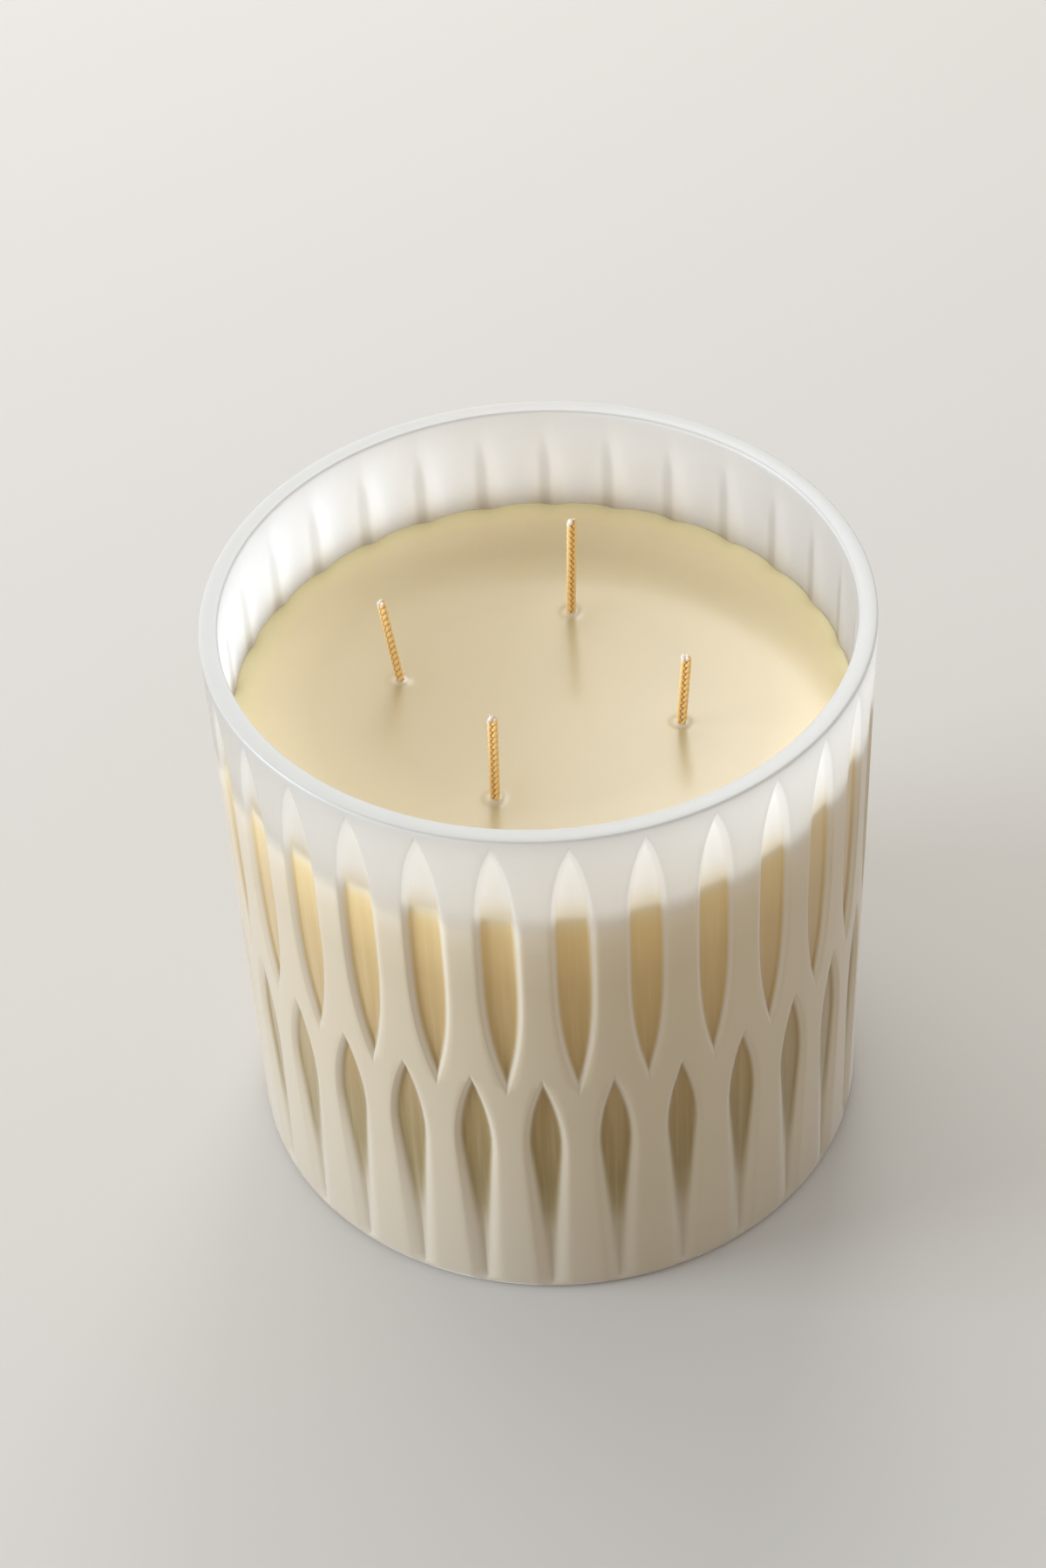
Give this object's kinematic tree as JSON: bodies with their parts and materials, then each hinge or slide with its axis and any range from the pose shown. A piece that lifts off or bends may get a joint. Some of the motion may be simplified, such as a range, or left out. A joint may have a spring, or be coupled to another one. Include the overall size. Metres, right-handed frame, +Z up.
{
  "type": "container candle",
  "caption": "Wide container candle: a straight frosted glass tumbler with two staggered rows of lens-shaped recesses, filled with cream wax that has braided wicks standing in it.",
  "frame": {"origin": "centre of the foot ring, on the surface the candle stands on", "axes": "+Z up along the vessel's axis; -Y towards the front, the side nearest the viewer in the picture; +X to the viewer's right"},
  "size_m": [0.15, 0.15, 0.1485],
  "materials": {
    "frosted_glass": "frosted, satin",
    "cream_wax": null,
    "waxed_cotton": "braided, waxed",
    "tinned_steel": "tin plated",
    "white_adhesive": "soft foam"
  },
  "bodies": {
    "root": {"glass_vessel": "frosted_glass", "wax_fill": "cream_wax", "wick_front": "waxed_cotton", "wick_right": "waxed_cotton", "wick_back": "waxed_cotton", "wick_left": "waxed_cotton", "wick_sustainer_front": "tinned_steel", "wick_sustainer_right": "tinned_steel", "wick_sustainer_back": "tinned_steel", "wick_sustainer_left": "tinned_steel", "adhesive_pad_front": "white_adhesive", "adhesive_pad_right": "white_adhesive", "adhesive_pad_back": "white_adhesive", "adhesive_pad_left": "white_adhesive"}
  },
  "joints": []
}
